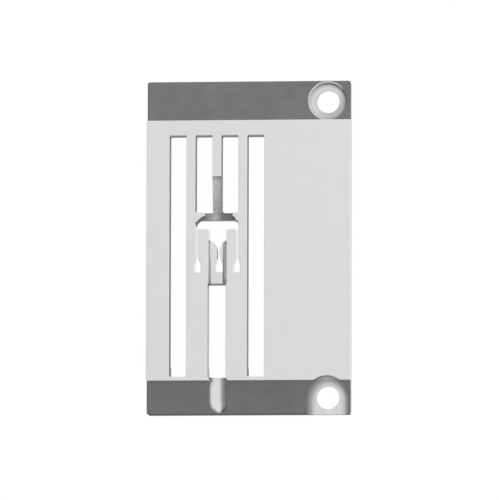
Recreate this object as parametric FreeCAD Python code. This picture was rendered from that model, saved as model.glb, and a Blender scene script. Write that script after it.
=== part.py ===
import FreeCAD, Part
import math
import os

from FreeCAD import Vector

# A needle plate for a three-needle coverstitch sewing machine. It is one block of steel:
# a thick middle with the ground sewing face, and a lower ledge at each end for the screws.
# Lengths are in millimetres. X goes across the plate, +Y is away from the operator, and Z
# goes up from the underside. The origin is the middle of the underside.

# The blank and its two ledges.
plate_width = 33.0
plate_length = 54.0
plate_thickness = 4.0
plate_corner_radius = 0.4
back_ledge_length = 6.45
front_ledge_length = 5.4
ledge_drop = 1.38
ledge_edge_break = 0.15
underside_edge_break = 0.2

# The four feed slots and the bars between them. The line of the middle needle splits them.
stitch_left_margin = 11.4
slot_count = 4
slot_width = 2.75
bar_width = 1.45
slot_corner_radius = 0.2
slot_back_margin = 2.45
slot_front_margin = 0.62
face_edge_break = 0.1

# The three needle holes, side by side on one line, and the slits that lead to them.
needle_y = -3.4
needle_gauge = 6.36
needle_hole_width = 1.2
needle_hole_back = 0.42
needle_hole_front = 0.72
middle_hole_front = 0.57
needle_hole_corner = 0.28
needle_flare_start = 2.15
needle_slit_width = 0.4

# The opening in front of the crosspiece, which is lower than the sewing face.
low_drop = 1.55
crosspiece_back = 9.0
crosspiece_width = 1.15
opening_length = 1.55
opening_corner_radius = 1.1
bar_foot_radius = 0.65

# The beaks of sewing face that reach over the two ends of the crosspiece.
left_beak_reach = 1.65
right_beak_reach = 1.0
beak_tip_drop = 0.55
left_beak_root = (0.0, 1.65)
right_beak_root = (0.4, 1.3)
beak_top_cut = 0.35
beak_hollow = 0.2

# The ramp on the middle bar, down to the crosspiece.
ramp_length = 5.85
ramp_step = 0.18

# The tongues, and the channel between them with its low floor and its notch.
channel_width = 2.9
channel_offset = 0.14
left_tongue_radius = 0.25
right_tongue_radius = 0.5
tongue_outer_radius = 0.15
lobe_radius = 2.0
notch_waist_back = 2.8
notch_waist = 0.38
notch_offset = 0.14
middle_hole_offset = 0.25
channel_floor_front = 2.6
channel_floor_break = 0.25
channel_left_fillet = 0.25
channel_right_fillet = 0.8

# The slot that carries the channel on to the front ledge.
thread_slot_width = 2.94
thread_mouth_lean = 0.33

# The thread groove in the front ledge, cut with a ball-nosed cutter that lifts out at its end.
groove_offset = 0.34
groove_radius = 1.7
groove_depth = 1.38
groove_end_stretch = 1.25
groove_end_margin = 0.2

# The screw seats: a round one at the back, and a U-shaped one open at the front edge.
screw_right_margin = 3.8
screw_back_margin = 3.25
screw_front_margin = 2.75
screw_hole_radius = 1.85
seat_depth = 1.5
back_seat_radius = 3.05
back_seat_fillet = 0.25
front_seat_radius = 3.25
front_seat_fillet = 1.25
seat_edge_break = 0.1
seat_mouth_radius = 0.4

# The milled relief under the slots, which leaves room for the feed dogs and the loopers.
relief_depth = 0.9
relief_margin = 0.7
relief_front_land = 1.5
relief_corner_radius = 1.5

# Places that follow from the sizes above.
back_edge = plate_length / 2
front_edge = -plate_length / 2
left_edge = -plate_width / 2
right_edge = plate_width / 2
back_step = back_edge - back_ledge_length
front_step = front_edge + front_ledge_length
ledge_z = plate_thickness - ledge_drop
low_z = plate_thickness - low_drop
slot_back = back_step - slot_back_margin
slot_front = front_step + slot_front_margin
slot_pitch = slot_width + bar_width
stitch_x = left_edge + stitch_left_margin
channel_x = stitch_x + channel_offset
notch_x = stitch_x + notch_offset
opening_left = stitch_x - slot_width - bar_width / 2
opening_right = stitch_x + slot_width + bar_width / 2
short_slot_front = needle_y + crosspiece_back
opening_back = short_slot_front - crosspiece_width
opening_front = opening_back - opening_length
thread_slot_left = stitch_x - thread_slot_width / 2
thread_slot_right = stitch_x + thread_slot_width / 2
channel_front = needle_y - channel_floor_front
seat_floor = ledge_z - seat_depth
screw_x = right_edge - screw_right_margin
back_screw_y = back_edge - screw_back_margin
front_screw_y = front_edge + screw_front_margin
clear = 1.0
tiny = 1e-4
above = plate_thickness + clear
below = -clear


def block(x0, x1, y0, y1, z0, z1):
    """A plain block between two opposite corners."""
    return Part.makeBox(x1 - x0, y1 - y0, z1 - z0, Vector(x0, y0, z0))


def upright_edges(solid):
    """The edges of a block that run straight up."""
    found = [e for e in solid.Edges if e.BoundBox.XLength + e.BoundBox.YLength < tiny]
    return [e for e in found if e.Length > tiny]


def corner_edges(solid, x, y):
    """The upright edges of a solid at one place in plan."""
    return [
        e
        for e in upright_edges(solid)
        if math.hypot(e.CenterOfMass.x - x, e.CenterOfMass.y - y) < tiny
    ]


def edges_at(solid, z):
    """The edges of a solid that lie flat at height z."""
    flat = [e for e in solid.Edges if e.Length > tiny and e.BoundBox.ZLength < tiny]
    return [e for e in flat if abs(e.CenterOfMass.z - z) < tiny]


def on_outline(edge):
    """True for an edge on the outside of the plate in plan."""
    box = edge.BoundBox
    margin = plate_corner_radius + tiny
    across = min(box.XMin - left_edge, right_edge - box.XMax) < margin and box.XLength < margin
    along = min(box.YMin - front_edge, back_edge - box.YMax) < margin and box.YLength < margin
    return across or along


def line(a, b):
    """A straight edge between two points in plan."""
    return Part.LineSegment(Vector(*a, 0), Vector(*b, 0)).toShape()


def arc(a, via, b):
    """A circular edge through three points in plan."""
    return Part.Arc(Vector(*a, 0), Vector(*via, 0), Vector(*b, 0)).toShape()


def swing(a, b):
    """A smooth edge from a to b, along Y at both ends."""
    half = (a[1] + b[1]) / 2
    curve = Part.BezierCurve()
    curve.setPoles([Vector(*p, 0) for p in (a, (a[0], half), (b[0], half), b)])
    return curve.toShape()


def prism(edges, z0, z1):
    """A closed outline, extruded upright from z0 to z1."""
    face = Part.Face(Part.Wire(Part.__sortEdges__(edges)))
    face.translate(Vector(0, 0, z0))
    return face.extrude(Vector(0, 0, z1 - z0))


def make_blank():
    """The ground plate with a lower ledge at each end."""
    plate = block(left_edge, right_edge, front_edge, back_edge, 0, plate_thickness)
    plate = plate.makeFillet(plate_corner_radius, upright_edges(plate))
    left = left_edge - clear
    right = right_edge + clear
    back = block(left, right, back_step, back_edge + clear, ledge_z, above)
    front = block(left, right, front_edge - clear, front_step, ledge_z, above)
    plate = plate.cut([back, front])
    return plate.makeChamfer(ledge_edge_break, [e for e in edges_at(plate, ledge_z) if on_outline(e)])


def feed_slots():
    """Two long outer slots and two short inner ones, at one pitch about the stitch line."""
    cutters = []
    for place in range(slot_count):
        middle = stitch_x + (place - (slot_count - 1) / 2) * slot_pitch
        left = middle - slot_width / 2
        right = middle + slot_width / 2
        outer = place in (0, slot_count - 1)
        front = slot_front if outer else short_slot_front
        solid = block(left, right, front, slot_back, below, above)
        foot = corner_edges(solid, left, front) if place == slot_count / 2 else []
        sharp = [e for e in upright_edges(solid) if not any(e.isSame(f) for f in foot)]
        solid = solid.makeFillet(slot_corner_radius, sharp)
        if foot:
            solid = solid.makeFillet(bar_foot_radius, corner_edges(solid, left, front))
        cutters.append(solid)
    return cutters


def needle_slit(centre, slit_left, slit_right, back, hole_front):
    """A narrow slit that runs forward and opens into a drop-shaped needle hole."""
    hole_left = centre - needle_hole_width / 2
    hole_right = centre + needle_hole_width / 2
    wide_y = needle_y + needle_hole_back - needle_hole_corner
    neck_y = needle_y + needle_flare_start
    corner = needle_hole_corner
    bulge = corner * (1 - math.sqrt(0.5))
    corner_y = hole_front + corner
    via_y = hole_front + bulge
    edges = [
        line((slit_left, back), (slit_left, neck_y)),
        swing((slit_left, neck_y), (hole_left, wide_y)),
        line((hole_left, wide_y), (hole_left, corner_y)),
        arc((hole_left, corner_y), (hole_left + bulge, via_y), (hole_left + corner, hole_front)),
        line((hole_left + corner, hole_front), (hole_right - corner, hole_front)),
        arc((hole_right - corner, hole_front), (hole_right - bulge, via_y), (hole_right, corner_y)),
        line((hole_right, corner_y), (hole_right, wide_y)),
        swing((hole_right, wide_y), (slit_right, neck_y)),
        line((slit_right, neck_y), (slit_right, back)),
        line((slit_right, back), (slit_left, back)),
    ]
    return prism(edges, below, above)


def opening():
    """The way through in front of the crosspiece, round at its two back corners."""
    solid = block(opening_left, opening_right, opening_front, opening_back, below, above)
    back_corners = [e for e in upright_edges(solid) if e.CenterOfMass.y > opening_back - tiny]
    return solid.makeFillet(opening_corner_radius, back_corners)


def needle_holes():
    """Three drop-shaped holes, the outer two at the needle gauge and the ends of their slits."""
    inside = (opening_front + opening_back) / 2
    left_slit = needle_slit(
        stitch_x - needle_gauge / 2,
        opening_left,
        opening_left + needle_slit_width,
        inside,
        needle_y - needle_hole_front,
    )
    right_slit = needle_slit(
        stitch_x + needle_gauge / 2,
        opening_right - needle_slit_width,
        opening_right,
        inside,
        needle_y - needle_hole_front,
    )
    middle = needle_slit(
        stitch_x + middle_hole_offset,
        notch_x - notch_waist / 2,
        notch_x + notch_waist / 2,
        needle_y + notch_waist_back,
        needle_y - middle_hole_front,
    )
    return [left_slit, right_slit, middle]


def lobe(side_x, waist_x):
    """The round back edge of one lobe, from the side of the channel to the waist."""
    waist_y = needle_y + notch_waist_back
    centre_x = waist_x + math.copysign(lobe_radius, side_x - waist_x)
    turn = math.acos((centre_x - side_x) / (centre_x - waist_x))
    side = (side_x, waist_y + lobe_radius * math.sin(turn))
    via_x = centre_x - (centre_x - waist_x) * math.cos(turn / 2)
    via = (via_x, waist_y + lobe_radius * math.sin(turn / 2))
    return side, arc(side, via, (waist_x, waist_y))


def notch():
    """The gap between the tongues, which narrows to a waist between two round lobes."""
    inside = (opening_front + opening_back) / 2
    left = channel_x - channel_width / 2
    right = channel_x + channel_width / 2
    waist_left = notch_x - notch_waist / 2
    waist_right = notch_x + notch_waist / 2
    waist_y = needle_y + notch_waist_back
    left_start, left_lobe = lobe(left, waist_left)
    right_start, right_lobe = lobe(right, waist_right)
    edges = [
        line((left, inside), left_start),
        left_lobe,
        line((waist_left, waist_y), (waist_right, waist_y)),
        right_lobe,
        line(right_start, (right, inside)),
        line((right, inside), (left, inside)),
    ]
    return prism(edges, below, above)


def beak(side_x, reach, root_place):
    """The outline of sewing face that is left standing over one end of the crosspiece. The
    root is where its front edge ends, measured inwards and forwards from the slots' corner."""
    way = math.copysign(1, reach)
    tip = (side_x + reach, short_slot_front - beak_tip_drop)
    top = (tip[0] - way * beak_top_cut, short_slot_front)
    root = (side_x + way * root_place[0], short_slot_front - root_place[1])
    hollow = ((tip[0] + root[0]) / 2, (tip[1] + root[1]) / 2 + beak_hollow)
    outside_x = side_x - way * clear
    back_y = short_slot_front + clear
    edges = [
        line((outside_x, back_y), (top[0], back_y)),
        line((top[0], back_y), top),
        line(top, tip),
        arc(tip, hollow, root),
        line(root, (outside_x, root[1])),
        line((outside_x, root[1]), (outside_x, back_y)),
    ]
    return prism(edges, below, above + clear)


def low_crosspiece():
    """What is milled away over the ramp on the middle bar and over the crosspiece."""
    ramp_back = short_slot_front + ramp_length
    profile = [
        (ramp_back, above),
        (ramp_back, plate_thickness - ramp_step),
        (short_slot_front, low_z),
        (opening_front, low_z),
        (opening_front, above),
    ]
    points = [Vector(opening_left, y, z) for y, z in profile]
    face = Part.Face(Part.makePolygon(points + points[:1]))
    solid = face.extrude(Vector(opening_right - opening_left, 0, 0))
    left_beak = beak(opening_left, left_beak_reach, left_beak_root)
    right_beak = beak(opening_right, -right_beak_reach, right_beak_root)
    return solid.cut([left_beak, right_beak])


def floor_edges(solid, x):
    """The edges along Y at the foot of the wall at x, on the low floor."""
    along = [e for e in solid.Edges if e.BoundBox.ZMax < low_z + tiny and e.BoundBox.XLength < tiny]
    return [e for e in along if abs(e.CenterOfMass.x - x) < tiny]


def low_channel():
    """The channel between the tongues: a low floor that turns up into both walls."""
    left = channel_x - channel_width / 2
    right = channel_x + channel_width / 2
    back = (opening_front + opening_back) / 2
    solid = block(left, right, channel_front, back, low_z, above)
    solid = solid.makeFillet(channel_left_fillet, floor_edges(solid, left))
    return solid.makeFillet(channel_right_fillet, floor_edges(solid, right))


def floor_end():
    """The slope that breaks the front edge of the channel's floor."""
    rise = above - low_z
    profile = [
        (channel_front, low_z - channel_floor_break),
        (channel_front + channel_floor_break + rise, above),
        (channel_front, above),
    ]
    points = [Vector(channel_x - channel_width / 2, y, z) for y, z in profile]
    return Part.Face(Part.makePolygon(points + points[:1])).extrude(Vector(channel_width, 0, 0))


def thread_slot():
    """The slot that carries the channel on through the plate, to the front ledge."""
    return block(thread_slot_left, thread_slot_right, slot_front, channel_front, below, above)


def thread_mouth(z0, z1):
    """The way from the slot to the groove, between z0 and z1. It leans a little to the right."""
    start_left = (thread_slot_left, slot_front)
    start_right = (thread_slot_right, slot_front)
    end_left = (thread_slot_left + thread_mouth_lean, front_step)
    end_right = (thread_slot_right + thread_mouth_lean, front_step)
    return prism(
        [
            line(start_left, start_right),
            line(start_right, end_right),
            line(end_right, end_left),
            line(end_left, start_left),
        ],
        z0,
        z1,
    )


def thread_groove():
    """The path of a ball-nosed cutter, from the slot to a long round end by the front edge."""
    x = stitch_x + groove_offset
    ball_z = ledge_z - groove_depth + groove_radius
    half_width = math.sqrt(groove_radius**2 - (ball_z - ledge_z) ** 2)
    end_y = front_edge + groove_end_margin + half_width * groove_end_stretch
    start = Vector(x, end_y, ball_z)
    trough = Part.makeCylinder(groove_radius, front_step - end_y, start, Vector(0, 1, 0))
    whole = Part.makeCylinder(groove_radius, slot_front - end_y, start, Vector(0, 1, 0))
    mouth = whole.common(thread_mouth(below, ball_z)).fuse(thread_mouth(ball_z, above))
    stretch = FreeCAD.Matrix()
    stretch.scale(1, groove_end_stretch, 1)
    end = Part.makeSphere(groove_radius).transformGeometry(stretch)
    end.translate(start)
    return trough.fuse([end, mouth])


def seat_face(radius, fillet, edge_break):
    """Half the section of a screw seat: a flat floor, a round corner and an upright wall."""
    lift = fillet * (1 - math.sqrt(0.5))
    wall = radius - fillet
    rim = radius + edge_break
    edges = [
        Part.makeLine(Vector(0, 0, seat_floor), Vector(wall, 0, seat_floor)),
        Part.Arc(
            Vector(wall, 0, seat_floor),
            Vector(radius - lift, 0, seat_floor + lift),
            Vector(radius, 0, seat_floor + fillet),
        ).toShape(),
        Part.makeLine(Vector(radius, 0, seat_floor + fillet), Vector(radius, 0, ledge_z - edge_break)),
        Part.makeLine(Vector(radius, 0, ledge_z - edge_break), Vector(rim, 0, ledge_z)),
        Part.makeLine(Vector(rim, 0, ledge_z), Vector(rim, 0, above)),
        Part.makeLine(Vector(rim, 0, above), Vector(0, 0, above)),
        Part.makeLine(Vector(0, 0, above), Vector(0, 0, seat_floor)),
    ]
    return Part.Face(Part.Wire(edges))


def screw_seats():
    """A round seat in the back ledge, and a seat in the front ledge that is open at the edge."""
    axis = Vector(0, 0, 1)
    back_half = seat_face(back_seat_radius, back_seat_fillet, seat_edge_break)
    back_seat = back_half.revolve(Vector(), axis, 360)
    back_seat.translate(Vector(screw_x, back_screw_y, 0))
    front_half = seat_face(front_seat_radius, front_seat_fillet, seat_edge_break)
    front_seat = front_half.revolve(Vector(), axis, 360)
    length = front_screw_y - front_edge + clear
    run_right = front_half.extrude(Vector(0, -length, 0))
    run_left = run_right.mirror(Vector(), Vector(1, 0, 0))
    front_seat = front_seat.fuse([run_right, run_left])
    front_seat.translate(Vector(screw_x, front_screw_y, 0))
    return [back_seat, front_seat]


def screw_holes():
    """Two clearance holes, one in the middle of each seat."""
    return [
        Part.makeCylinder(screw_hole_radius, above - below, Vector(screw_x, y, below))
        for y in (back_screw_y, front_screw_y)
    ]


def relief():
    """The round-cornered hollow in the underside, below all four feed slots."""
    reach = (slot_count * slot_pitch - bar_width) / 2 + relief_margin
    front = slot_front + relief_front_land
    back = slot_back + relief_margin
    solid = block(stitch_x - reach, stitch_x + reach, front, back, below, relief_depth)
    return solid.makeFillet(relief_corner_radius, upright_edges(solid))


def round_corners(solid):
    """The solid with the corners of its tongues rounded."""
    left_corner = corner_edges(solid, channel_x - channel_width / 2, opening_front)
    solid = solid.makeFillet(left_tongue_radius, left_corner)
    right_corner = corner_edges(solid, channel_x + channel_width / 2, opening_front)
    solid = solid.makeFillet(right_tongue_radius, right_corner)
    outer = corner_edges(solid, opening_left + needle_slit_width, opening_front)
    outer += corner_edges(solid, opening_right - needle_slit_width, opening_front)
    return solid.makeFillet(tongue_outer_radius, outer)


def open_mouth(solid):
    """The solid with the corners rounded where the front seat cuts into the step."""
    rim = front_seat_radius + seat_edge_break
    half = math.sqrt(rim**2 - (front_step - front_screw_y) ** 2)
    corners = [e for x in (screw_x - half, screw_x + half) for e in corner_edges(solid, x, front_step)]
    return solid.makeFillet(seat_mouth_radius, corners)


def break_edges(solid):
    """The solid with its sharp edges broken, so that neither thread nor cloth catches."""
    solid = solid.makeChamfer(face_edge_break, edges_at(solid, plate_thickness))
    return solid.makeChamfer(underside_edge_break, [e for e in edges_at(solid, 0) if on_outline(e)])


def needle_plate():
    """The whole plate, cut in the order that a workshop would cut it."""
    plate = make_blank().cut(relief())
    plate = plate.cut(feed_slots() + [opening(), notch()] + needle_holes())
    plate = round_corners(plate)
    plate = plate.cut([low_crosspiece(), low_channel(), floor_end(), thread_slot(), thread_groove()])
    plate = plate.cut(screw_seats() + screw_holes())
    return break_edges(open_mouth(plate))


os.makedirs("parts", exist_ok=True)
plate = needle_plate()
plate.exportStep("parts/needle_plate.step")
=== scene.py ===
import math

import bmesh
import bpy
import numpy as np
from mathutils import Matrix, Vector


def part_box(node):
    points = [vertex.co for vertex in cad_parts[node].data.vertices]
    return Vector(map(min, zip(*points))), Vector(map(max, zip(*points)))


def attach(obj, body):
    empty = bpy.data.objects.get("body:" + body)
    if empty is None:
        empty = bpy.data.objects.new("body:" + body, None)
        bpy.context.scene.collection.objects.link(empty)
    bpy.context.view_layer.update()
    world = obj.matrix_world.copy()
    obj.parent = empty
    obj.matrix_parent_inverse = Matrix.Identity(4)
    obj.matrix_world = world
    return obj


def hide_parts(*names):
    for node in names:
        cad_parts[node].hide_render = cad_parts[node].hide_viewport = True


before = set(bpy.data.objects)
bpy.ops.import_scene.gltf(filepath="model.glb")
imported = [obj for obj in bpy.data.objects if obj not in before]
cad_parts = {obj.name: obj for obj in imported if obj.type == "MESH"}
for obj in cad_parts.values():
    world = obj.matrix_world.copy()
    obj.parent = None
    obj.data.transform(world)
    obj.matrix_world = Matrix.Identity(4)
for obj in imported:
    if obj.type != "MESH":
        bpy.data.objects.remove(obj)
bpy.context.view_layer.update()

# The needle plate is one block of hardened steel. Its solid is milled, slotted and ground to
# size, so the shown plate is that same form with its facets joined into one skin. Lengths
# are in millimetres, on the axes of the solid, and mm turns them into metres.
mm = 0.001
plate_low, plate_high = [np.array(corner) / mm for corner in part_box("needle_plate")]
left_edge, front_edge = plate_low[:2]
right_edge, back_edge, face_z = plate_high
ledge_drop = 1.38
low_drop = 1.55
ledge_z = face_z - ledge_drop
low_z = face_z - low_drop
back_step = back_edge - 6.45
front_step = front_edge + 5.4
edge_break = 0.15
same = 0.01
merge_gap = 1e-3
soft_turn = math.radians(50)


def joined_skin(node):
    """The solid's own triangles, joined at their corners. No corner moves."""
    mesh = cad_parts[node].data.copy()
    mesh.materials.clear()
    work = bmesh.new()
    work.from_mesh(mesh)
    bmesh.ops.remove_doubles(work, verts=work.verts, dist=merge_gap * mm)
    work.to_mesh(mesh)
    work.free()
    return mesh


def faces_of(mesh):
    """The middle, normal and area of every face, in millimetres."""
    count = len(mesh.polygons)
    middle = np.empty(count * 3)
    normal = np.empty(count * 3)
    area = np.empty(count)
    mesh.polygons.foreach_get("center", middle)
    mesh.polygons.foreach_get("normal", normal)
    mesh.polygons.foreach_get("area", area)
    return middle.reshape(-1, 3) / mm, normal.reshape(-1, 3), area / mm**2


def flat_areas(normal, area, middle):
    """For every face, the area of all faces in its own plane."""
    offset = (normal * middle).sum(1)
    key = np.round(np.column_stack([normal * 500, offset * 50])).astype(int)
    plane = np.unique(key, axis=0, return_inverse=True)[1].ravel()
    return np.bincount(plane, area)[plane]


def softened(mesh):
    """Shades each corner by the faces round it that turn less than soft_turn from its own face,
    each weighted by the area of its plane, so flats stay flat and broken edges look round. An
    upright wall is shaded by other upright walls alone."""
    middle, normal, area = faces_of(mesh)
    weight = flat_areas(normal, area, middle)
    corners = len(mesh.loops)
    vertex = np.empty(corners, int)
    mesh.loops.foreach_get("vertex_index", vertex)
    face = np.repeat(np.arange(len(mesh.polygons)), 3)
    order = np.argsort(vertex, kind="stable")
    start = np.searchsorted(vertex[order], np.arange(len(mesh.vertices) + 1))
    ring = np.diff(start)[vertex]
    own = np.repeat(np.arange(corners), ring)
    step = np.arange(len(own)) - np.repeat(np.cumsum(ring) - ring, ring)
    other = face[order[np.repeat(start[vertex], ring) + step]]
    alike = (normal[face[own]] * normal[other]).sum(1) > math.cos(soft_turn)
    upright = abs(normal[:, 2]) < same
    alike &= upright[face[own]] == upright[other]
    push = normal[other] * (alike * weight[other])[:, None]
    shade = np.column_stack([np.bincount(own, part, corners) for part in push.T])
    return shade / np.linalg.norm(shade, axis=1)[:, None]


skin = joined_skin("needle_plate")
plate = bpy.data.objects.new("plate", skin)
bpy.context.scene.collection.objects.link(plate)
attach(plate, "root")
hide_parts("needle_plate")

# Each surface keeps the finish of the tool that cut it. The faces are sorted by where they lie
# and which way they face, and every finish below then takes its own faces.
stitch_x = left_edge + 11.4
needle_y = -3.4
crosspiece_y = needle_y + 9.0
opening_y = 2.9
field_half = 3.475
field_front = needle_y - 2.6
groove_x = stitch_x + 0.34
groove_radius = 1.7
screw_x = right_edge - 3.8
screw_ys = (back_edge - 3.25, front_edge + 2.75)
seat_radii = (3.05, 3.25)
seat_z = ledge_z - 1.5
hole_radius = 1.85
relief_z = 0.9
middle, normal, area = faces_of(skin)
x, y, z = middle.T
up = normal[:, 2]
spot = np.empty(len(skin.vertices) * 3)
skin.vertices.foreach_get("co", spot)
corner = np.empty(len(skin.loops), int)
skin.loops.foreach_get("vertex_index", corner)
corner_spots = spot.reshape(-1, 3)[corner] / mm
top = corner_spots[:, 2].reshape(-1, 3).max(axis=1)
shade = softened(skin)
walls = abs(up) < 0.5
finishes = np.zeros(len(x), int)


def finish(faces, material):
    """Gives the chosen faces a material of their own."""
    finishes[faces] = len(skin.materials)
    skin.materials.append(material)


def lean_up(faces, share):
    """Turns the shading of the chosen faces towards straight up, by a share from 0 to 1: their
    own normals times the rest of 1, plus the share upwards, brought back to length 1."""
    corners = np.repeat(faces, 3)
    leaning = shade[corners] * (1 - share) + (0, 0, share)
    shade[corners] = leaning / np.linalg.norm(leaning, axis=1)[:, None]


# The bare steel is one shader, which each finish turns to its own brightness, gloss and grain.
# Each node reads the place on the plate, so that the grain stays where the cutter left it.
def steel(name, tone, rough, edge=1.0):
    """Bare steel, with its node tree and shader. The edge is how bright it stays at a glance."""
    material = bpy.data.materials.new(name)
    material.use_nodes = True
    shader = material.node_tree.nodes["Principled BSDF"]
    shader.inputs["Metallic"].default_value = 1
    shader.inputs["Base Color"].default_value = (tone, tone, tone * 1.01, 1)
    shader.inputs["Roughness"].default_value = rough
    shader.inputs["Specular Tint"].default_value = (edge, edge, edge, 1)
    return material


def place(material, scale, offset=(0, 0, 0)):
    """The place on the plate, moved by the offset in millimetres, then scaled on each axis."""
    nodes = material.node_tree.nodes
    where = nodes.new("ShaderNodeTexCoord")
    mapping = nodes.new("ShaderNodeMapping")
    mapping.vector_type = "POINT"
    mapping.inputs["Scale"].default_value = [s / mm for s in scale]
    mapping.inputs["Location"].default_value = [o * s for o, s in zip(offset, scale)]
    material.node_tree.links.new(where.outputs["Object"], mapping.inputs["Vector"])
    return mapping.outputs["Vector"]


def noise(material, vector, detail=2.0):
    """Cloudy noise from 0 to 1, one patch to each unit of the vector."""
    node = material.node_tree.nodes.new("ShaderNodeTexNoise")
    node.inputs["Scale"].default_value = 1
    node.inputs["Detail"].default_value = detail
    material.node_tree.links.new(vector, node.inputs["Vector"])
    return node.outputs["Fac"]


def spread(material, value, low, high):
    """A value from 0.3 to 0.7 spread out to run from low to high."""
    node = material.node_tree.nodes.new("ShaderNodeMapRange")
    node.inputs["From Min"].default_value = 0.3
    node.inputs["From Max"].default_value = 0.7
    node.inputs["To Min"].default_value = low
    node.inputs["To Max"].default_value = high
    material.node_tree.links.new(value, node.inputs["Value"])
    return node.outputs["Result"]


def joined(material, operation, first, second):
    """Two values added, multiplied or otherwise joined."""
    node = material.node_tree.nodes.new("ShaderNodeMath")
    node.operation = operation
    material.node_tree.links.new(first, node.inputs[0])
    material.node_tree.links.new(second, node.inputs[1])
    return node.outputs["Value"]


def along_axis(material, axis, start=0):
    """The place along one axis of the plate, in millimetres from the start."""
    part = material.node_tree.nodes.new("ShaderNodeSeparateXYZ")
    material.node_tree.links.new(place(material, (1, 1, 1), (-start,) * 3), part.inputs[0])
    return part.outputs[axis]


def toned(material, value, stops):
    """A tone that follows a value, straight from one (value, tone) pair to the next."""
    nodes = material.node_tree.nodes
    low = stops[0][0]
    high = stops[-1][0]
    share = nodes.new("ShaderNodeMapRange")
    share.inputs["From Min"].default_value = low
    share.inputs["From Max"].default_value = high
    material.node_tree.links.new(value, share.inputs["Value"])
    ramp = nodes.new("ShaderNodeValToRGB")
    elements = ramp.color_ramp.elements
    elements.remove(elements[-1])
    for index, (where, tone) in enumerate(stops):
        spot = (where - low) / (high - low)
        stop = elements.new(spot) if index else elements[0]
        stop.position = spot
        stop.color = (tone, tone, tone, 1)
    material.node_tree.links.new(share.outputs["Result"], ramp.inputs[0])
    return ramp.outputs["Color"]


def bump(material, value, depth):
    """Grain that stands up from the surface, depth millimetres from 0 to 1."""
    node = material.node_tree.nodes.new("ShaderNodeBump")
    node.inputs["Distance"].default_value = depth * mm
    material.node_tree.links.new(value, node.inputs["Height"])
    shader = material.node_tree.nodes["Principled BSDF"]
    material.node_tree.links.new(node.outputs["Normal"], shader.inputs["Normal"])


def feed(material, value, name):
    """Leads a value to one socket of the shader."""
    shader = material.node_tree.nodes["Principled BSDF"]
    material.node_tree.links.new(value, shader.inputs[name])


# The slot walls are cut by wire, which leaves a dull and finely pitted skin, and nothing is
# done to them afterwards. Their colour is also painted dark, as painted shade for the deep
# slots. Every face that gets no other finish below keeps this one.
def wire_cut_painted_shade():
    """Dull pitted steel, its colour painted dark as shade."""
    material = steel("wire_cut_painted_shade", 0.24, 0.42, 0.7)
    pits = noise(material, place(material, (18, 18, 18)), 3)
    feed(material, spread(material, pits, 0.36, 0.48), "Roughness")
    bump(material, pits, 0.004)
    return material


finish(np.full(len(x), True), wire_cut_painted_shade())


# The outside of the plate is ground on all four sides, along the edges. The front side was
# ground with a coarser wheel and is rougher than the rest, and its colour is painted dark as shade.
side_depth = 0.45
front_depth = 0.1


def side_ground(name, tone, rough, edge):
    """Steel ground along the plate's sides, with fine lines that run level."""
    material = steel(name, tone, rough, edge)
    lines = noise(material, place(material, (0.4, 0.4, 14)), 3)
    feed(material, spread(material, lines, rough - 0.08, rough + 0.08), "Roughness")
    bump(material, lines, 0.003)
    return material


outer = abs(x) > right_edge - side_depth
outer |= (y > back_edge - side_depth) | (y < front_edge + side_depth)
outer &= walls
finish(outer, side_ground("side_ground", 0.8, 0.38, 0.95))
# The front side's dark colour is painted shade.
finish(outer & (y < front_edge + front_depth), side_ground("front_ground_painted_shade", 0.25, 0.55, 0.3))


# The two steps down to the ledges are ground with the side of the wheel, in the same pass as
# the ledges. Their colour is painted light, so they show bright instead of the dark ledge that
# they reflect.
steps = walls & (z > ledge_z) & ((y > back_step - same) | (y < front_step + same))
finish(steps, steel("step_painted_light", 0.85, 0.3))


# The walls of the tongues, the slits and the needle holes are polished by hand, because the
# needles and the thread run there.
past_field = 0.6
holes_front = needle_y - 0.9
holes_back = needle_y + 1.6
tongue_side = 2.0
slits_back = opening_y + 0.3


def polished():
    """Bright steel, almost free of marks."""
    material = steel("polished", 0.78, 0.17, 0.86)
    haze = noise(material, place(material, (5, 5, 5)))
    feed(material, spread(material, haze, 0.14, 0.2), "Roughness")
    return material


around_field = (abs(x - stitch_x) < field_half + past_field) & (y < crosspiece_y) & (y > holes_front)
side_slits = (abs(x - stitch_x) > tongue_side) & (y < slits_back)
threaded = walls & around_field & ((top > low_z + same) | (y < holes_back) | side_slits)
finish(threaded, polished())

# The slot that the thread runs down to the groove is smoother than the feed slots, because it
# is dressed with a fine stone after the wire has cut it.
thread_slot = walls & (abs(x - stitch_x) < tongue_side) & (y < field_front)
finish(thread_slot & (y > front_step + same), steel("thread_slot", 0.4, 0.4, 0.95))

# The two screw holes go straight through the plate below their seats. They are drilled and
# then reamed, which leaves them smooth.
from_screw = [np.hypot(x - screw_x, y - screw_y) for screw_y in screw_ys]
bores = walls & (top < seat_z + same) & (np.minimum(*from_screw) < hole_radius + same)
finish(bores, steel("reamed", 0.6, 0.2, 0.72))


# The sewing face is fine ground along the plate and then polished, so the cloth slides on it.
def fine_ground():
    """Satin steel with a faint grain along Y."""
    material = steel("fine_ground", 0.8, 0.32)
    lines = noise(material, place(material, (22, 0.35, 1)), 4)
    haze = spread(material, noise(material, place(material, (0.25, 0.25, 1))), 0.985, 1.0)
    feed(material, spread(material, lines, 0.30, 0.35), "Roughness")
    shine = spread(material, lines, 0.812, 0.827)
    feed(material, joined(material, "MULTIPLY", shine, haze), "Base Color")
    bump(material, lines, 0.0008)
    return material


sewing = (z > face_z - edge_break) & (up > 0.3)
finish(sewing, fine_ground())

# The broken edges of the sewing face are polished with it, so they hardly show. The one along
# the front step has a painted highlight: a colour brighter than the face.
flat = up > 0.999
lean_up(sewing & ~flat, 0.7)
finish(sewing & ~flat & (y < front_step + edge_break), steel("painted_highlight_edge", 0.93, 0.3))


# The two ledges lie below the sewing face. They are ground with a coarse wheel and left so,
# dark and a bit cloudy. The front one has painted light where it meets the bright step.
painted_step_light_tones = ((-1.4, 1.0), (-0.5, 1.15), (0.0, 1.5))


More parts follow.
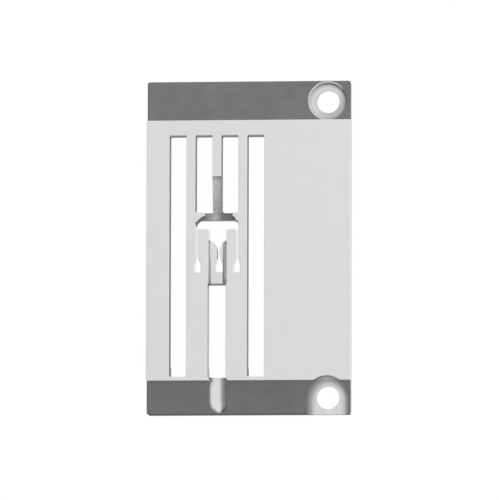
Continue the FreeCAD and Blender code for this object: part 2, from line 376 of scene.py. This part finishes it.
def rough_ground(name, tone, paint_step_light):
    """Dark grey steel with blurred patches and coarse grinding lines across the plate. It may
    have painted light close to the front step."""
    material = steel(name, tone, 0.5)
    lines = noise(material, place(material, (0.6, 16, 1)), 4)
    clouds = noise(material, place(material, (0.35, 0.45, 1)), 4)
    grain = spread(material, lines, 0.97 * tone, 1.03 * tone)
    cloudy = joined(material, "MULTIPLY", grain, spread(material, clouds, 0.93, 1.05))
    if paint_step_light:
        painted_step_light = toned(material, along_axis(material, "Y", front_step), painted_step_light_tones)
        cloudy = joined(material, "MULTIPLY", cloudy, painted_step_light)
    feed(material, cloudy, "Base Color")
    feed(material, spread(material, lines, 0.44, 0.56), "Roughness")
    bump(material, lines, 0.004)
    return material


ledges = (z > ledge_z - 2 * same - edge_break) & (z < ledge_z + same) & (up > 0.3)
ledges &= (y > back_step - same) | (y < front_step + same)
finish(ledges & (y > 0), rough_ground("back_ledge", 0.25, False))
finish(ledges & (y < 0), rough_ground("front_ledge", 0.225, True))


# The channel between the tongues has a low floor. It is milled along its length with a sharp
# cutter, which leaves it bright.
def milled():
    """Bright steel with cutter lines along Y."""
    material = steel("milled", 0.8, 0.28)
    lines = noise(material, place(material, (9, 0.6, 1)), 3)
    feed(material, spread(material, lines, 0.24, 0.36), "Roughness")
    bump(material, lines, 0.003)
    return material


past_floor = 0.1
floors = (abs(x - stitch_x) < field_half + past_floor) & (y > front_step) & (y < back_step) & (up > 0.05)
floors &= (z < face_z - edge_break) & (z > relief_z + same)
finish(floors, milled())


# The ramp on the middle bar and the low crosspiece are milled too, but duller and darker, and
# their colour has painted shade and reflection for the hollows that the cutter left. The tones
# go across the plate from left to right, and along the ramp towards its back end.
ramp_back = crosspiece_y + 5.85
crosspiece_right = stitch_x + field_half - 0.42
ramp_painted_shade = ((-5.9, 0.93), (-5.4, 0.93), (-4.8, 0.8), (-4.45, 0.68))
ramp_length_painted_shade = (
    (-6.1, 1.0), (-5.8, 0.74), (-4.8, 0.74), (-1.55, 1.0), (-0.75, 1.0), (-0.4, 0.78), (-0.15, 0.6),
    (0.2, 0.75)
)
crosspiece_painted_shade = (
    (-8.4, 0.19), (-7.2, 0.285), (-6.2, 0.38), (-5.7, 0.52), (-5.2, 0.5), (-4.7, 0.33), (-4.3, 0.24),
    (-2.4, 0.19)
)


def milled_with_painted_shade(name, stops):
    """Dull steel with blurred cutter marks, and painted shade and reflection across the plate and
    along the ramp. It is darker in a ragged patch where the ramp starts."""
    material = steel(name, 0.45, 0.4)
    marks = noise(material, place(material, (2.5, 2.5, 2.5)), 4)
    feed(material, spread(material, marks, 0.36, 0.46), "Roughness")
    tone = toned(material, along_axis(material, "X"), stops)
    marked = joined(material, "MULTIPLY", tone, spread(material, marks, 0.88, 1.1))
    from_back = along_axis(material, "Y", ramp_back)
    ragged = joined(material, "ADD", from_back, spread(material, marks, -0.2, 0.2))
    shade_along_ramp = toned(material, ragged, ramp_length_painted_shade)
    feed(material, joined(material, "MULTIPLY", marked, shade_along_ramp), "Base Color")
    bump(material, marks, 0.006)
    return material


finish(floors & (y > crosspiece_y), milled_with_painted_shade("ramp_milled_painted_shade", ramp_painted_shade))
crosspiece = floors & (y > opening_y) & (y < crosspiece_y) & (x < crosspiece_right)
finish(crosspiece, milled_with_painted_shade("crosspiece_milled_painted_shade", crosspiece_painted_shade))


# The thread groove is cut with a round-nosed cutter that lifts out in a long round end. Its
# colour has painted shade and reflection: light along the left and middle, dark on the flanks.
groove_depth = 1.38
groove_stretch = 1.25
groove_stop = front_edge + 0.2
groove_end_y = groove_stop + groove_stretch * 1.67
groove_bottom = 1.2
groove_flatness = 0.55
mouth_length = 0.7
groove_painted_shade = (
    (-6.45, 0.5), (-6.3, 0.66), (-6.1, 0.72), (-5.8, 0.73), (-4.85, 0.77), (-4.6, 0.66), (-4.4, 0.5),
    (-4.1, 0.45), (-3.8, 0.45), (-3.5, 0.42), (-3.1, 0.4)
)
flank_share = ((-4.6, 0.0), (-4.15, 1.0))
end_share = ((-1.3, 1.0), (-0.2, 0.0))
painted_flank_shade = ((0.0, 1.0), (1.0, 0.42))


def groove_with_painted_shade():
    """Steel that is painted light along the left and middle of the groove and dark on the flanks,
    as shade, with a few lines along it. The right flank has more painted shade at the end, by its
    share across times its share along."""
    material = steel("groove_with_painted_shade", 0.72, 0.3)
    lines = noise(material, place(material, (10, 0.5, 10)), 3)
    feed(material, spread(material, lines, 0.26, 0.34), "Roughness")
    tone = toned(material, along_axis(material, "X"), groove_painted_shade)
    flank = toned(material, along_axis(material, "X"), flank_share)
    end = toned(material, along_axis(material, "Y", groove_end_y), end_share)
    painted_end_shade = toned(material, joined(material, "MULTIPLY", flank, end), painted_flank_shade)
    feed(material, joined(material, "MULTIPLY", tone, painted_end_shade), "Base Color")
    return material


mouth_end = front_step + mouth_length
groove = (abs(x - groove_x) < groove_radius + 0.05) & (y < mouth_end)
groove &= (y > groove_stop - 0.02) & (z > groove_bottom) & (z < ledge_z) & (up > 0.02)
finish(groove, groove_with_painted_shade())
# The walls at the groove's mouth are painted light, against the shade that falls between them.
mouth = walls & (abs(x - groove_x) < groove_radius + 0.1) & (y < mouth_end)
mouth &= (y > front_step - 0.2) & (z > groove_bottom) & (z < face_z)
finish(mouth, steel("mouth_painted_light", 0.62, 0.35))
lean_up(mouth & (x < groove_x), 0.85)

# The groove is shaded as a ball that is stretched along Y at the end, and a little flatter than
# it is, as polishing has left it.
bowl = np.repeat(groove, 3)
from_axis = corner_spots[bowl] - (groove_x, groove_end_y, ledge_z + groove_radius - groove_depth)
from_axis[:, 1] = np.minimum(from_axis[:, 1], 0) / groove_stretch**2
from_axis[:, :2] *= groove_flatness
shade[bowl] = -from_axis / np.linalg.norm(from_axis, axis=1)[:, None]


# The two screw seats are turned about their holes, which leaves rings on floor and wall. The
# front one is run out to the edge. Each has painted shade by the distance from its middle, dark
# towards its rim, and then a factor of painted light and shade: from the back left to the front
# right on the back seat, and towards the back on the front seat.
seat_rim = 0.12
seat_painted_shade = {
    "back_seat": ((0.0, 0.76), (2.6, 0.74), (2.78, 0.64), (2.92, 0.42), (3.3, 0.36)),
    "front_seat": (
        (1.95, 0.78), (2.3, 0.7), (2.6, 0.6), (2.9, 0.42), (3.1, 0.34), (3.4, 0.25), (3.6, 0.2)
    ),
}
seat_shift = {"back_seat": (-0.1, -0.1), "front_seat": (0.25, -0.7)}
seat_painted_sides = {
    "back_seat": ((-2.5, 1.0), (0, 0.97), (1.5, 0.82), (3.0, 0.7)),
    "front_seat": ((2.75, 1.0), (3.0, 1.7)),
}
ring_depth = {"back_seat": (0.78, 1.12), "front_seat": (0.95, 1.03)}
round_from = {"back_seat": -10, "front_seat": 0}
seat_stretch = {"back_seat": 1, "front_seat": 0.8}


def turned(name, screw_y):
    """Bright steel with rings about one screw hole: noise on the distance from its middle, with
    painted shade by that distance and by side. The front seat's distance is measured from a line
    along Y, forward of its middle, and grows more slowly along Y."""
    material = steel(name, 0.7, 0.3)
    nodes = material.node_tree.nodes
    links = material.node_tree.links
    lean_x, lean_y = seat_shift[name]
    part = nodes.new("ShaderNodeSeparateXYZ")
    off_middle = (-screw_x - lean_x, -screw_y - lean_y, 0)
    links.new(place(material, (1, seat_stretch[name], 0), off_middle), part.inputs[0])
    forward = nodes.new("ShaderNodeMath")
    forward.operation = "MAXIMUM"
    forward.inputs[1].default_value = round_from[name]
    links.new(part.outputs["Y"], forward.inputs[0])
    spot = nodes.new("ShaderNodeCombineXYZ")
    links.new(part.outputs["X"], spot.inputs["X"])
    links.new(forward.outputs["Value"], spot.inputs["Y"])
    length = nodes.new("ShaderNodeVectorMath")
    length.operation = "LENGTH"
    links.new(spot.outputs["Vector"], length.inputs[0])
    rings = nodes.new("ShaderNodeTexNoise")
    rings.noise_dimensions = "1D"
    rings.inputs["Scale"].default_value = 3.2
    rings.inputs["Detail"].default_value = 3
    links.new(length.outputs["Value"], rings.inputs["W"])
    tone = toned(material, length.outputs["Value"], seat_painted_shade[name])
    ringed = joined(material, "MULTIPLY", tone, spread(material, rings.outputs["Fac"], *ring_depth[name]))
    slant = joined(material, "SUBTRACT", part.outputs["X"], part.outputs["Y"])
    side = toned(material, part.outputs["Y"] if screw_y < 0 else slant, seat_painted_sides[name])
    feed(material, joined(material, "MULTIPLY", ringed, side), "Base Color")
    feed(material, spread(material, rings.outputs["Fac"], 0.36, 0.26), "Roughness")
    bump(material, rings.outputs["Fac"], 0.004)
    return material


for name, screw_y, radius in zip(("back_seat", "front_seat"), screw_ys, seat_radii):
    out = np.hypot(x - screw_x, y - screw_y)
    seat = out < radius + seat_rim
    if screw_y < 0:
        seat |= (abs(x - screw_x) < radius + seat_rim) & (y < screw_y)
    seat &= (z > seat_z - same) & (z < ledge_z + same) & ((up > 0.01) | (z > seat_z + same))
    seat &= (y > front_edge + same) & (y < back_edge - same)
    seat &= ~((z > ledge_z - same) & flat)
    finish(seat, turned(name, screw_y))
    if screw_y < 0:
        lean_up(seat, 0.85)

# The wall of the back seat has a painted highlight: a bright crescent at the back of it. Its
# left flank is painted as light as the floor, and the rest stays dark.
crescent_start = screw_ys[0] + 0.9
crescent_end = screw_x + 2.4
crescent_reach = 0.3
crescent_low = seat_z + 0.4
crescent_back = back_edge - 0.4
from_rim = abs(from_screw[0] - seat_radii[0])
crescent = (from_rim < crescent_reach) & (y > crescent_start) & (x < crescent_end)
crescent &= (z > crescent_low) & (z < ledge_z + same) & (~flat | (y > crescent_back))
crescent &= ~((y > back_edge - same) & walls)
finish(crescent, steel("seat_painted_highlight", 0.8, 0.3))
wall = (from_screw[0] < seat_radii[0] + seat_rim) & (z > seat_z + same) & (z < ledge_z + same)
wall &= (y < back_edge - same) & ~flat
flank = wall & (x < screw_x) & (y < crescent_start)
finish(flank, steel("seat_flank_painted_light", 0.66, 0.3))
lean_up(crescent | flank, 0.91)
lean_up(wall & ~crescent & ~flank, 0.4)


# The underside lies on the bed of the machine and is never seen in use. It is surface ground
# flat, and the shallow relief below the slots is dressed the same way.
def underside_ground():
    """Plain ground steel with lines across the plate."""
    material = steel("underside_ground", 0.45, 0.42)
    lines = noise(material, place(material, (0.5, 12, 1)), 4)
    feed(material, spread(material, lines, 0.36, 0.5), "Roughness")
    feed(material, spread(material, lines, 0.42, 0.48), "Base Color")
    bump(material, lines, 0.003)
    return material


finish(up < -0.3, underside_ground())
skin.polygons.foreach_set("material_index", finishes)
skin.shade_smooth()
skin.normals_split_custom_set(shade)

# The plate lies on a plain white table, large enough that no edge of it shows. The table shows
# white, and keeps the plate's shadow.
table_half = 3.0
table_glow = 0.95
table_strength = 1.03


def table_top():
    """A large flat square under the plate."""
    mesh = bpy.data.meshes.new("table")
    corners = np.array([(-1, -1, 0), (1, -1, 0), (1, 1, 0), (-1, 1, 0)]) * table_half
    corners[:, 2] = -0.02 * mm
    mesh.from_pydata(corners.tolist(), [], [(0, 1, 2, 3)])
    return bpy.data.objects.new("table", mesh)


def table_white():
    """White that glows a little to the eye and in reflections, and shows shadow in the rest."""
    material = bpy.data.materials.new("table_white")
    material.use_nodes = True
    nodes = material.node_tree.nodes
    links = material.node_tree.links
    nodes.remove(nodes["Principled BSDF"])
    matt = nodes.new("ShaderNodeBsdfDiffuse")
    matt.inputs["Color"].default_value = (0.8, 0.8, 0.8, 1)
    glow = nodes.new("ShaderNodeEmission")
    glow.inputs["Strength"].default_value = table_strength
    path = nodes.new("ShaderNodeLightPath")
    seen = nodes.new("ShaderNodeMath")
    seen.operation = "ADD"
    seen.use_clamp = True
    links.new(path.outputs["Is Camera Ray"], seen.inputs[0])
    links.new(path.outputs["Is Glossy Ray"], seen.inputs[1])
    also = nodes.new("ShaderNodeMath")
    also.operation = "ADD"
    also.use_clamp = True
    links.new(seen.outputs[0], also.inputs[0])
    links.new(path.outputs["Is Transmission Ray"], also.inputs[1])
    share = nodes.new("ShaderNodeMath")
    share.operation = "MULTIPLY"
    share.inputs[1].default_value = table_glow
    links.new(also.outputs[0], share.inputs[0])
    mix = nodes.new("ShaderNodeMixShader")
    links.new(share.outputs[0], mix.inputs["Fac"])
    links.new(matt.outputs[0], mix.inputs[1])
    links.new(glow.outputs[0], mix.inputs[2])
    links.new(mix.outputs[0], nodes["Material Output"].inputs["Surface"])
    return material


table = table_top()
table.data.materials.append(table_white())
bpy.context.scene.collection.objects.link(table)

# The light is a soft studio sky and nothing else. It is bright overhead, to the right and
# behind, and dimmer to the left and front, which gives the walls of the plate their tones.
sky_stops = ((-0.9, 0.22), (-0.6, 0.32), (-0.38, 0.47), (-0.19, 0.7), (-0.02, 1.0))


def sky():
    """The sky's brightness, worked out from how far a direction points right and back."""
    world = bpy.data.worlds.new("sky")
    bpy.context.scene.world = world
    world.use_nodes = True
    nodes = world.node_tree.nodes
    links = world.node_tree.links
    place = nodes.new("ShaderNodeTexCoord")
    parts = nodes.new("ShaderNodeSeparateXYZ")
    links.new(place.outputs["Generated"], parts.inputs[0])
    side = nodes.new("ShaderNodeMath")
    side.operation = "ADD"
    links.new(parts.outputs["X"], side.inputs[0])
    links.new(parts.outputs["Y"], side.inputs[1])
    half = nodes.new("ShaderNodeMath")
    half.operation = "MULTIPLY_ADD"
    half.inputs[1].default_value = 0.5
    half.inputs[2].default_value = 0.5
    links.new(side.outputs[0], half.inputs[0])
    ramp = nodes.new("ShaderNodeValToRGB")
    stops = ramp.color_ramp.elements
    while len(stops) > 1:
        stops.remove(stops[-1])
    for index, (where, light) in enumerate(sky_stops):
        spot = where * 0.5 + 0.5
        stop = stops.new(spot) if index else stops[0]
        stop.position = spot
        stop.color = (light, light, light, 1)
    links.new(half.outputs[0], ramp.inputs[0])
    links.new(ramp.outputs["Color"], nodes["Background"].inputs["Color"])
    nodes["Background"].inputs["Strength"].default_value = 1


sky()

# The camera looks down on the sewing face from far off, a little from the right and the front,
# so that the walls on the left of each slot and at the back of each seat just show.
camera_right = math.radians(5)
camera_front = math.radians(5.85)
camera_roll = -0.0022
camera_distance = 1.2
aim = Vector((0.23, -0.56, face_z)) * mm
seen_height = 80.58 * mm

back = Vector((math.tan(camera_right), -math.tan(camera_front), 1)).normalized()
across = (Vector((1, 0, 0)) - back * back.x).normalized()
along = (Vector((0, 1, 0)) - back * back.y).normalized()
sight_x = (across + along.cross(back)).normalized()
sight_y = back.cross(sight_x)
lens = bpy.data.cameras.new("camera")
lens.lens = lens.sensor_width * camera_distance / seen_height
lens.clip_end = 10
camera = bpy.data.objects.new("camera", lens)
bpy.context.scene.collection.objects.link(camera)
turn = Matrix((sight_x, sight_y, back)).transposed().to_4x4() @ Matrix.Rotation(camera_roll, 4, "Z")
camera.matrix_world = Matrix.Translation(aim + back * camera_distance) @ turn
bpy.context.scene.camera = camera
bpy.context.scene.view_settings.view_transform = "Standard"
